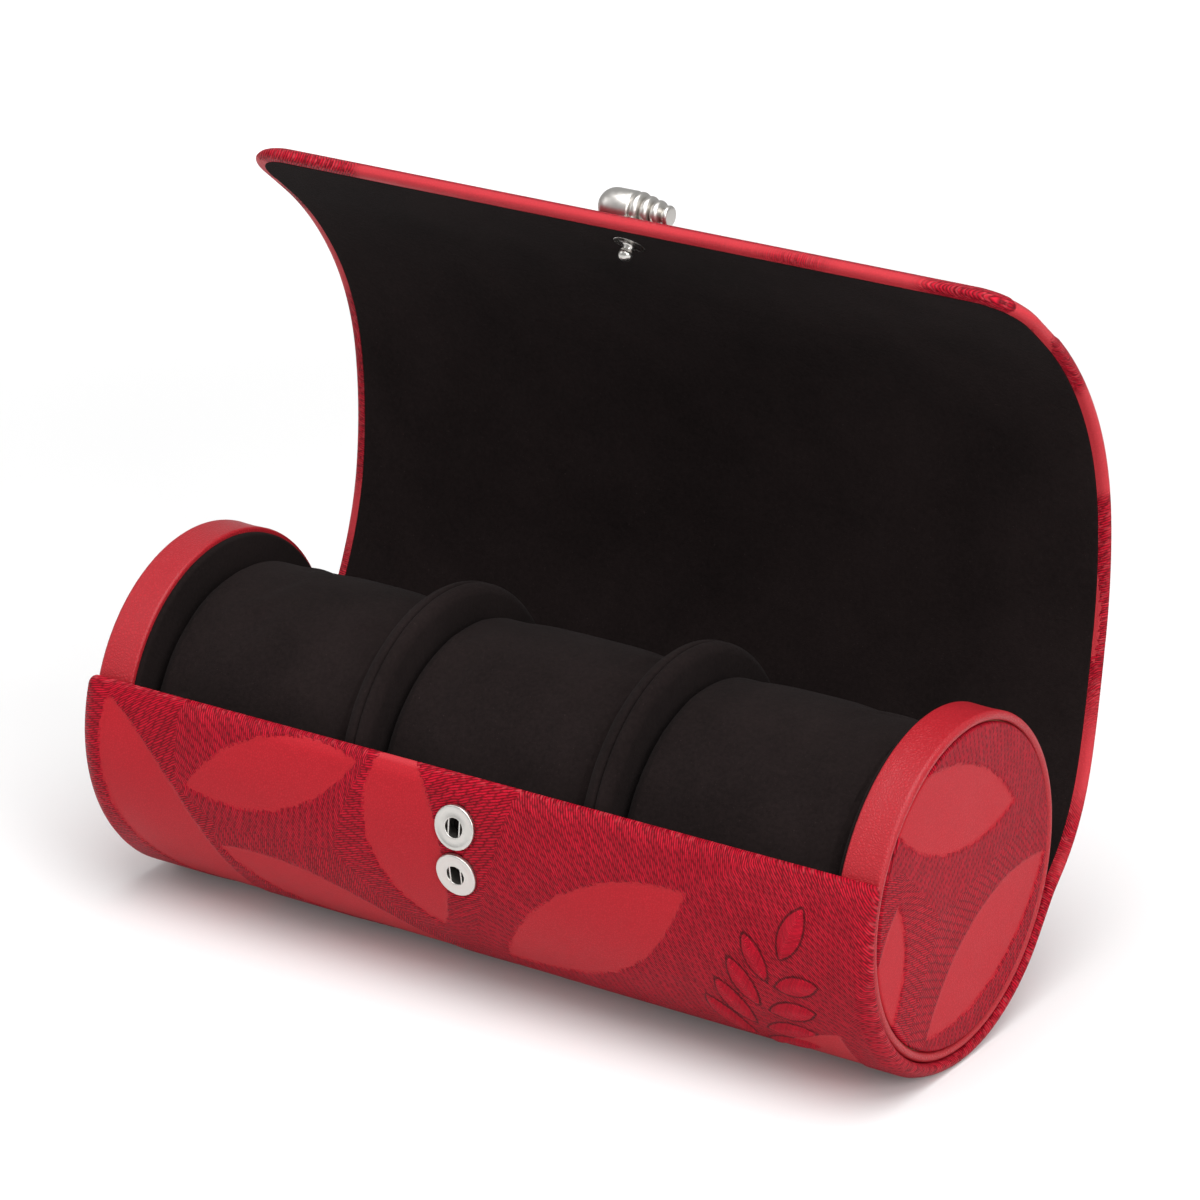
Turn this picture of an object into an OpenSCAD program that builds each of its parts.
// A roll for three watches: a round leather case with padded cuffs and a flexible lid.
// X runs along the roll, -Y is the front with the two snap sockets, Z is up.
// The origin is the middle of the flat strip that the roll rests on.

/* [Roll] */
// Length of the leather wrap, end to end
roll_l = 254; // [200:1:320]
// Radius of the round end caps
cap_r = 47; // [38:0.5:58]
// Width of an end cap, along the roll
cap_w = 12; // [8:0.5:20]
// How far the wrap stands proud of the caps' faces
end_proud = 1; // [0.5:0.1:3]
// Depth of the flat strip worn into the leather where the roll rests
rest_depth = 1.2; // [0.6:0.1:1.3]

/* [Wall] */
// Thickness of the suede lining
lining_t = 0.8; // [0.5:0.1:1.5]
// Thickness of the stiffening board
board_t = 2.0; // [1:0.1:4]
// Thickness of the outer leather
leather_t = 1.4; // [1.3:0.1:2.5]

/* [Wrap] */
// Direction of the front lip's crest, seen from the right end, from the back round over the top
lip_angle = 158.5; // [150:0.5:168]
// Direction at which the back of the wrap leaves the round
back_angle = -36.8; // [-50:0.1:-20]
// Straight run of the wrap from there up to the hinge
back_run = 13.7; // [5:0.1:25]
// Width of the leather turned over the front lip
lip_hem = 2; // [1:0.1:6]

/* [Lid] */
// Slope of the open lid where it leaves the wrap
lid_start = 37; // [20:1:60]
// How far the open lid's five panels turn, from the hinge up
lid_turns = [32, 13.5, 13.5, 24.5, 20.5];
// Sweep round the roll that the five panels cover when the lid is closed
lid_sweep = 197; // [185:0.5:205]
// Room between the caps and the middle of the closed lid's inner face
lid_room = 3; // [2:0.1:6]
// Length of the straight flap past the last panel
flap_l = 26; // [22:0.5:40]
// How much narrower the lid is than the wrap, on each side
lid_draw = 3; // [0:0.5:6]
// Width of the leather turned over the lid's edges
lid_hem = 1.8; // [1.5:0.1:6]
// Radius of the flap's free corners
corner_r = 15; // [5:1:20]

/* [Inside] */
// Width of a divider, along the roll
divider_w = 8; // [5:0.5:12]
// Play of a divider's edge inside the lining
divider_play = 0.3; // [0.3:0.1:1]
// Thickness of the suede disc that faces the inside of an end cap
facing_t = 2; // [1.5:0.1:4]
// How much smaller a cuff's radius is than the end caps'
cuff_less = 4; // [2:0.5:12]
// Play at each end of a cuff
cuff_play = 1.4; // [0.5:0.1:4]
// Thickness of a cuff's suede
cuff_t = 1; // [0.8:0.1:2]
// Swell of a cuff's middle over its ends
cuff_crown = 0.5; // [0.2:0.1:1]

/* [Snap] */
// Direction of the lower socket, seen from the right end
low_socket_angle = 190; // [186:0.5:196]
// Distance between the two sockets, round the wrap
socket_pitch = 13.9; // [13:0.1:18]
// Radius of a socket's flange
flange_r = 6.3; // [5.8:0.1:6.4]
// How far a socket's flange stands proud of the leather
flange_proud = 0.9; // [0.7:0.1:1.2]
// Radius of a socket's hole
hole_r = 2.75; // [2.5:0.05:2.9]
// Radius of the stud's ball
ball_r = 2; // [1.8:0.05:2.1]
// Height of the stud over the flap's lining
stud_h = 4.8; // [4.6:0.1:5]
// Distance of the stud from the flap's lip
stud_set = 13; // [11:0.5:14]
// Radius of the stud's post through the flap
post_r = 1.5; // [1.2:0.1:2]

/* [Ornament] */
// Length of the turned metal ornament, along the roll
knob_l = 22.4; // [20:0.2:28]
// Largest radius of the ornament
knob_r = 5.2; // [4.8:0.1:6]
// Height of the ornament's base over the flap
knob_base_h = 1.5; // [1.3:0.1:2.5]
// How far the ornament's middle lies to the left of its post
knob_shift = 2; // [0:0.5:3]

/* [Hidden] */
$fn = 180;

red = [0.72, 0.20, 0.24];
suede = [0.13, 0.11, 0.11];
board = [0.78, 0.70, 0.55];
foam = [0.85, 0.83, 0.78];
steel = [0.80, 0.79, 0.77];

// Clearances: a glue line inside one body, and the gap between bodies
glue = 0.05;
gap = 0.3;
fit = 0.2;

// Wall of the wrap and of the lid, counted outwards from the lining's face
wall_t = lining_t + board_t + leather_t;
board_in = lining_t + glue;
board_out = lining_t + board_t;
skin_in = board_out + glue;

// The wrap's inner face, its outside, and the height of the roll's axis over the rest strip
inner_r = cap_r + fit;
wall_r = inner_r + wall_t;
axis_h = wall_r - rest_depth;
half_l = roll_l / 2;

// The caps stand between the inner faces of the wrap's ends
cap_out = half_l - end_proud;
cap_in = cap_out - cap_w;
facing_in = cap_in - facing_t;

// Two dividers make three equal compartments, each with one cuff
compartment = (2 * facing_in - 2 * divider_w) / 3;
divider_x = (compartment + divider_w) / 2;
cuff_x = compartment + divider_w;
cuff_l = compartment - 2 * cuff_play;
cuff_r = cap_r - cuff_less;
cuff_z = axis_h - inner_r + gap + cuff_r;
divider_r = inner_r - divider_play;

// The sockets sit on the front of the wrap
upper_socket_angle = low_socket_angle - socket_pitch / wall_r * 180 / PI;

// The lid's panels are arcs. Each starts at a joint, with a slope, and turns by its own angle.
function direction(a) = [cos(a), sin(a)];
hinge = inner_r * direction(back_angle) + back_run * direction(back_angle + 90);
panel_l = (cap_r + lid_room) * lid_sweep * PI / 180 / len(lid_turns);
function panel_r(k) = panel_l / (lid_turns[k] * PI / 180);
function slope(k) = k == 0 ? lid_start : slope(k - 1) + lid_turns[k - 1];
function centre(k) = joint(k) + panel_r(k) * direction(slope(k) + 90);
function joint(k) = k == 0 ? hinge : centre(k - 1) + panel_r(k - 1) * direction(slope(k) - 90);
lid_half = half_l - lid_draw;
// The lid keeps the wrap's width at the hinge and is drawn in over its first two panels
draw_top = joint(2)[1];

// A section is drawn with the roll's axis at its origin, then run along X between two places
module run(x0, x1) {
    translate([x0, 0, axis_h])
        rotate([90, 0, 90])
            linear_extrude(x1 - x0)
                children();
}

// A run that is centred on the middle of the roll
module run_both(half) {
    run(-half, half)
        children();
}

// A wedge from the origin, wide enough to cut an arc out of a ring of radius r
module wedge(r, a0, a1) {
    steps = 6;
    polygon(concat([[0, 0]], [for (i = [0 : steps]) 2 * r * direction(a0 + (a1 - a0) * i / steps)]));
}

module ring_arc(r0, r1, a0, a1) {
    intersection() {
        difference() {
            circle(r1);
            circle(r0);
        }
        wedge(r1, a0, a1);
    }
}

// Angle at the wrap's inner face that a length along it takes up
function wrap_angle(l) = l / inner_r * 180 / PI;

// A layer of the wrap's wall, from t0 to t1 outwards, starting a length behind the front lip's crest.
// It runs down, under and up the back, then straight to the hinge, where it is mitred to the lid's slope.
// It is drawn turned, so that the straight run leaves the arc exactly at the X axis.
module wrap_layer(t0, t1, behind_lip) {
    reach = 200;
    difference() {
        rotate(back_angle)
            union() {
                ring_arc(inner_r + t0, inner_r + t1, lip_angle + wrap_angle(behind_lip) - back_angle, 360);
                translate([inner_r + t0, 0])
                    square([t1 - t0, back_run + wall_t]);
            }
        translate(hinge)
            rotate(lid_start)
                translate([-gap / 2, -reach / 2])
                    square(reach);
    }
}

// The whole wall of the wrap, with a round front lip
module wrap_wall() {
    lip_r = wall_t / 2;
    wrap_layer(0, wall_t, lip_r);
    rotate(lip_angle + wrap_angle(lip_r))
        translate([inner_r + lip_r, 0])
            circle(lip_r);
}

// Puts a child on the wrap's outer face, with its Z pointing straight out
module on_wrap(angle) {
    translate([0, 0, axis_h])
        rotate([angle - 90, 0, 0])
            translate([0, 0, wall_r])
                children();
}

// A disc with a rounded edge on its +Z face
module soft_disc(r, t, edge) {
    rotate_extrude()
        intersection() {
            union() {
                square([r - edge, t]);
                square([r, t - edge]);
                translate([r - edge, t - edge])
                    circle(edge);
            }
            square([r, t]);
        }
}

// Turns a child's Z axis to +X and puts it at a place along the roll's axis
module along_roll(x, z) {
    translate([x, 0, z])
        rotate([0, 90, 0])
            children();
}

// Wrap

// The lining's ends are tucked under the caps
lining_tuck = 1.5;
lining_half = cap_in + lining_tuck;
board_half = half_l - leather_t;
// Depth of the flat seat pressed into the leather under a socket
seat_depth = 0.45;

module wrap_leather() {
    color(red)
        difference() {
            run_both(half_l)
                wrap_wall();
            run_both(board_half)
                wrap_layer(lining_t, skin_in, leather_t + wall_t / 2);
            run_both(lining_half + glue)
                wrap_layer(-1, lining_t + glue, lip_hem + wall_t / 2);
            translate([-roll_l, -wall_r, -wall_r])
                cube([2 * roll_l, 2 * wall_r, wall_r]);
            for (angle = [low_socket_angle, upper_socket_angle])
                on_wrap(angle) {
                    translate([0, 0, -seat_depth])
                        cylinder(h = 2, r = flange_r + glue);
                    translate([0, 0, -leather_t - 1])
                        cylinder(h = 2 + leather_t, r = barrel_r + glue);
                }
        }
}

module wrap_board() {
    color(board)
        difference() {
            run_both(board_half - glue)
                wrap_layer(board_in, board_out, leather_t + wall_t / 2 + glue);
            for (angle = [low_socket_angle, upper_socket_angle])
                on_wrap(angle) {
                    translate([0, 0, -wall_t - 1])
                        cylinder(h = wall_t + 2, r = barrel_r + glue);
                    translate([0, 0, -wall_t - 1])
                        cylinder(h = wall_t + 1 - barrel_l + foot_t + glue, r = foot_r + glue);
                }
        }
}

module wrap_lining() {
    color(suede)
        run_both(lining_half)
            wrap_layer(0, lining_t, lip_hem + wall_t / 2 + glue);
}

// End caps

rim_t = 2.7;
rim_bead = 1.35;
face_gap = 0.3;
face_t = 1.2;
face_sunk = 0.4;
soft_edge = 1;

// The leather band round a cap, with a soft bead round its outer edge
module cap_rim() {
    color(red)
        along_roll(cap_in, axis_h)
            rotate_extrude()
                translate([cap_r - rim_t, 0])
                    union() {
                        square([rim_t, cap_w - rim_bead]);
                        translate([rim_bead, cap_w - rim_bead])
                            circle(rim_bead);
                    }
}

module cap_core() {
    color(board)
        along_roll(cap_in + glue, axis_h)
            cylinder(h = cap_w - face_sunk - face_t - 2 * glue, r = cap_r - rim_t - glue);
}

module cap_face() {
    color(red)
        along_roll(cap_out - face_sunk - face_t, axis_h)
            soft_disc(cap_r - rim_t - face_gap, face_t, face_t / 2);
}

// The suede disc that faces the compartments, rounded on its inner side
module cap_lining() {
    color(suede)
        along_roll(cap_in - glue, axis_h)
            mirror([0, 0, 1])
                soft_disc(cap_r - rim_t / 2, facing_t - glue, soft_edge);
}

module left_cap_core() mirror([1, 0, 0]) cap_core();
module left_cap_rim() mirror([1, 0, 0]) cap_rim();
module left_cap_face() mirror([1, 0, 0]) cap_face();
module left_cap_lining() mirror([1, 0, 0]) cap_lining();
module right_cap_core() cap_core();
module right_cap_rim() cap_rim();
module right_cap_face() cap_face();
module right_cap_lining() cap_lining();

// Dividers

divider_skin = 1.2;
divider_edge = 2.4;

module divider_board(x) {
    color(board)
        along_roll(x - divider_w / 2 + divider_skin + glue, axis_h)
            cylinder(h = divider_w - 2 * divider_skin - 2 * glue, r = divider_r - divider_skin - glue);
}

// Two padded suede halves that meet at the seam round the divider's edge
module divider_cover(x) {
    color(suede)
        for (side = [-1, 1])
            translate([x, 0, 0])
                mirror([side < 0 ? 1 : 0, 0, 0])
                    along_roll(glue, axis_h)
                        difference() {
                            soft_disc(divider_r, divider_w / 2 - glue, divider_edge);
                            translate([0, 0, -1])
                                cylinder(h = divider_w / 2 - divider_skin + 1 - glue, r = divider_r - divider_skin);
                        }
}

module left_divider_board() divider_board(-divider_x);
module left_divider_cover() divider_cover(-divider_x);
module right_divider_board() divider_board(divider_x);
module right_divider_cover() divider_cover(divider_x);

// Snap sockets, each a flange with a barrel through the leather and board, and a wire spring in its hole

barrel_wall = 0.75;
barrel_r = hole_r + barrel_wall;
barrel_end_gap = 0.1;
barrel_l = wall_t - lining_t - barrel_end_gap;
foot_w = 1.1;
foot_r = barrel_r + foot_w;
foot_t = 0.3;
flange_edge = 0.5;
wire_r = 0.25;
wire_cover = 0.1;
// The wires stand in the ball's way, and their legs reach into the flange past the hole
wire_x = ball_r - wire_r;
wire_z = flange_proud - wire_r - wire_cover;
wire_grip = 0.35;
wire_leg = hole_r + wire_grip;

// A hairpin of wire: two legs beside the stud's neck, joined by a bend inside the flange
module hairpin(extra) {
    for (side = [-1, 1])
        translate([side * wire_x, -wire_leg - extra, 0])
            rotate([-90, 0, 0])
                cylinder(h = 2 * wire_leg + extra, r = wire_r + extra);
    translate([0, wire_leg, 0])
        rotate_extrude(angle = 180)
            translate([wire_x, 0])
                circle(wire_r + extra);
}

module snap_socket(angle) {
    color(steel)
        on_wrap(angle)
            difference() {
                union() {
                    translate([0, 0, glue - seat_depth])
                        soft_disc(flange_r, flange_proud + seat_depth - glue, flange_edge);
                    translate([0, 0, -barrel_l])
                        cylinder(h = barrel_l, r = barrel_r);
                    translate([0, 0, -barrel_l])
                        cylinder(h = foot_t, r = foot_r);
                }
                translate([0, 0, -barrel_l - 1])
                    cylinder(h = barrel_l + flange_proud + 2, r = hole_r);
                translate([0, 0, wire_z])
                    hairpin(glue);
            }
}

module snap_spring(angle) {
    color(steel)
        on_wrap(angle)
            translate([0, 0, wire_z])
                hairpin(0);
}

module upper_snap_socket() snap_socket(upper_socket_angle);
module upper_snap_spring() snap_spring(upper_socket_angle);
module lower_snap_socket() snap_socket(low_socket_angle);
module lower_snap_spring() snap_spring(low_socket_angle);

// Cuffs: a suede sleeve with a soft swell and rounded ends, over foam, closed by two suede discs

cuff_edge = 3;
cuff_end_t = 1;

// Half of a cuff's outline, from its axis out and along its length
module cuff_outline(inset) {
    half = cuff_l / 2 - inset;
    r = cuff_r - inset;
    crown_r = (half * half + cuff_crown * cuff_crown) / (2 * cuff_crown);
    edge = cuff_edge - inset;
    end_r = r - cuff_crown;
    intersection() {
        union() {
            translate([0, -half])
                square([end_r - edge, 2 * half]);
            translate([0, edge - half])
                square([r, 2 * (half - edge)]);
            for (side = [-1, 1])
                translate([end_r - edge, side * (half - edge)])
                    circle(edge);
        }
        translate([r - crown_r, 0])
            circle(crown_r, $fn = 2000);
        translate([0, -half])
            square([r, 2 * half]);
    }
}

module cuff_cover(x) {
    color(suede)
        along_roll(x, cuff_z)
            difference() {
                rotate_extrude()
                    cuff_outline(0);
                rotate_extrude()
                    cuff_outline(cuff_t);
                cylinder(h = 2 * cuff_l, r = cuff_r - cuff_crown - cuff_edge, center = true);
            }
}

module cuff_foam(x) {
    color(foam)
        along_roll(x, cuff_z)
            rotate_extrude()
                cuff_outline(cuff_t + glue);
}

module cuff_ends(x) {
    color(suede)
        for (side = [-1, 1])
            along_roll(x + side * (cuff_l / 2 - cuff_end_t / 2), cuff_z)
                cylinder(h = cuff_end_t - 2 * glue, r = cuff_r - cuff_crown - cuff_edge - glue, center = true);
}

module left_cuff_cover() cuff_cover(-cuff_x);
module left_cuff_foam() cuff_foam(-cuff_x);
module left_cuff_ends() cuff_ends(-cuff_x);
module middle_cuff_cover() cuff_cover(0);
module middle_cuff_foam() cuff_foam(0);
module middle_cuff_ends() cuff_ends(0);
module right_cuff_cover() cuff_cover(cuff_x);
module right_cuff_foam() cuff_foam(cuff_x);
module right_cuff_ends() cuff_ends(cuff_x);

// Lid panels

// A layer of panel k, from t0 to t1 outwards, with half of the gap left at each end
module panel_layer(k, t0, t1) {
    trim = gap / 2 / panel_r(k) * 180 / PI;
    start = slope(k) - 90;
    translate(centre(k))
        ring_arc(panel_r(k) + t0, panel_r(k) + t1, start + trim, start + lid_turns[k] - trim);
}

// The lid's outline seen from behind, inset from its side edges
module lid_outline(inset) {
    low = hinge[1] - wall_t;
    top = joint(len(lid_turns))[1] + wall_t;
    wide = half_l - inset;
    narrow = lid_half - inset;
    depth = 4 * wall_r;
    translate([0, depth / 2, axis_h])
        rotate([90, 0, 0])
            linear_extrude(depth)
                polygon([
                    [-wide, low], [wide, low], [narrow, draw_top],
                    [narrow, top], [-narrow, top], [-narrow, draw_top]
                ]);
}

module panel(k, t0, t1, inset) {
    intersection() {
        run_both(half_l)
            panel_layer(k, t0, t1);
        lid_outline(inset);
    }
}

module lid_leather(number) {
    k = number - 1;
    color(red)
        difference() {
            panel(k, 0, wall_t, 0);
            intersection() {
                run_both(half_l)
                    panel_pocket(k, lining_t, skin_in);
                lid_outline(leather_t);
            }
            intersection() {
                run_both(half_l)
                    panel_pocket(k, -1, lining_t + glue);
                lid_outline(leather_t + lid_hem);
            }
        }
}

// A pocket through the whole panel, past both its ends
module panel_pocket(k, t0, t1) {
    past = 2;
    start = slope(k) - 90;
    translate(centre(k))
        ring_arc(panel_r(k) + t0, panel_r(k) + t1, start - past, start + lid_turns[k] + past);
}

module lid_board(number) {
    color(board)
        panel(number - 1, board_in, board_out, leather_t + glue);
}

module lid_lining(number) {
    color(suede)
        panel(number - 1, 0, lining_t, leather_t + lid_hem + glue);
}

// Flap, drawn flat with Y along it from its joint, +Z to the inside, and the stud at its middle

flap_joint = joint(len(lid_turns));
flap_slope = slope(len(lid_turns));
stud_y = flap_l - stud_set;

module on_flap() {
    translate([0, flap_joint[0], axis_h + flap_joint[1]])
        rotate([flap_slope, 0, 0])
            children();
}

// A plate of the flap with two round free corners, from its joint's side to its lip
module flap_plate(t0, t1, inset, start) {
    r = corner_r - inset;
    half = lid_half - inset;
    end = flap_l - inset;
    translate([0, 0, -t1])
        linear_extrude(t1 - t0)
            intersection() {
                union() {
                    translate([-half, start])
                        square([2 * half, end - r - start]);
                    translate([r - half, start])
                        square([2 * (half - r), end - start]);
                    for (side = [-1, 1])
                        translate([side * (half - r), end - r])
                            circle(r);
                }
                translate([-half, start])
                    square([2 * half, end - start]);
            }
}

module post_hole(r) {
    translate([0, stud_y, -2 * wall_t])
        cylinder(h = 3 * wall_t, r = r);
}

module flap_leather() {
    color(red)
        on_flap()
            difference() {
                flap_plate(0, wall_t, 0, gap / 2);
                flap_plate(lining_t, skin_in, leather_t, -1);
                flap_plate(-1, lining_t + glue, leather_t + lid_hem, -1);
                post_hole(post_r + glue);
            }
}

module flap_board() {
    color(board)
        on_flap()
            difference() {
                flap_plate(board_in, board_out, leather_t + glue, gap / 2);
                post_hole(post_r + glue);
            }
}

module flap_lining() {
    color(suede)
        on_flap()
            difference() {
                flap_plate(0, lining_t, leather_t + lid_hem + glue, gap / 2);
                post_hole(stud_foot_r + glue);
            }
}

// Snap stud: a foot, a neck and a ball, with a post through the flap and into the ornament

stud_foot_r = 4.6;
stud_foot_h = 0.4;
neck_r = 1.2;
post_in_knob = 3;
knob_saddle = 1;
knob_axis = -(wall_t + knob_base_h + knob_r - knob_saddle);

module snap_stud() {
    post_end = wall_t + knob_base_h + post_in_knob;
    color(steel)
        on_flap()
            translate([0, stud_y, 0]) {
                translate([0, 0, glue - lining_t])
                    cylinder(h = lining_t - glue + stud_foot_h, r = stud_foot_r);
                cylinder(h = stud_h - ball_r, r = neck_r);
                translate([0, 0, stud_h - ball_r])
                    sphere(ball_r);
                translate([0, 0, -post_end])
                    cylinder(h = post_end, r = post_r);
            }
}

// The ornament's base: a round seat on the flap, hollowed to take the knob
module ornament_base() {
    base_r = 5;
    color(steel)
        on_flap()
            translate([0, stud_y, 0])
                difference() {
                    translate([0, 0, -wall_t - knob_base_h])
                        cylinder(h = knob_base_h - glue, r = base_r);
                    translate([0, 0, -wall_t - knob_base_h - 1])
                        cylinder(h = knob_base_h + 2, r = post_r + glue);
                    translate([0, 0, knob_axis])
                        rotate([0, 90, 0])
                            cylinder(h = 4 * base_r, r = knob_r + glue, center = true);
                }
}

// The knob lies along the roll: a smooth domed end, then beads that step down to a small button
bead_count = 3;
bead_r = 1.25;
bead_step = 2.9;
bead_drop = 0.65;
button_r = 3;

module knob_profile() {
    dome_y = knob_r - knob_l / 2;
    first = 1.6;
    last = first + bead_step * (bead_count - 1);
    intersection() {
        union() {
            translate([0, dome_y])
                circle(knob_r);
            translate([0, dome_y])
                square([knob_r, -dome_y]);
            for (i = [0 : bead_count - 1])
                translate([knob_r - bead_drop * i - bead_r, first + bead_step * i])
                    circle(bead_r);
            for (i = [0 : bead_count - 1])
                translate([0, first + bead_step * i - bead_step / 2])
                    square([knob_r - bead_drop * i - bead_r, bead_step]);
            square([button_r, knob_l / 2 - button_r / 2]);
            translate([button_r / 2, knob_l / 2 - button_r / 2])
                circle(button_r / 2);
            translate([0, last])
                square([button_r / 2, knob_l / 2 - last]);
        }
        translate([0, -knob_l])
            square([2 * knob_r, 2 * knob_l]);
    }
}

module ornament_knob() {
    color(steel)
        on_flap()
            difference() {
                translate([-knob_shift, stud_y, knob_axis])
                    rotate([0, 90, 0])
                        rotate_extrude()
                            knob_profile();
                translate([0, stud_y, -wall_t - knob_base_h - post_in_knob - glue])
                    cylinder(h = post_in_knob + knob_base_h, r = post_r + glue);
            }
}

wrap_leather();
wrap_board();
wrap_lining();
left_cap_core();
left_cap_rim();
left_cap_face();
left_cap_lining();
right_cap_core();
right_cap_rim();
right_cap_face();
right_cap_lining();
left_divider_board();
left_divider_cover();
right_divider_board();
right_divider_cover();
upper_snap_socket();
upper_snap_spring();
lower_snap_socket();
lower_snap_spring();
left_cuff_cover();
left_cuff_foam();
left_cuff_ends();
middle_cuff_cover();
middle_cuff_foam();
middle_cuff_ends();
right_cuff_cover();
right_cuff_foam();
right_cuff_ends();
lid_leather(1);  // lid_leather_1
lid_board(1);  // lid_board_1
lid_lining(1);  // lid_lining_1
lid_leather(2);  // lid_leather_2
lid_board(2);  // lid_board_2
lid_lining(2);  // lid_lining_2
lid_leather(3);  // lid_leather_3
lid_board(3);  // lid_board_3
lid_lining(3);  // lid_lining_3
lid_leather(4);  // lid_leather_4
lid_board(4);  // lid_board_4
lid_lining(4);  // lid_lining_4
lid_leather(5);  // lid_leather_5
lid_board(5);  // lid_board_5
lid_lining(5);  // lid_lining_5
flap_leather();
flap_board();
flap_lining();
snap_stud();
ornament_base();
ornament_knob();
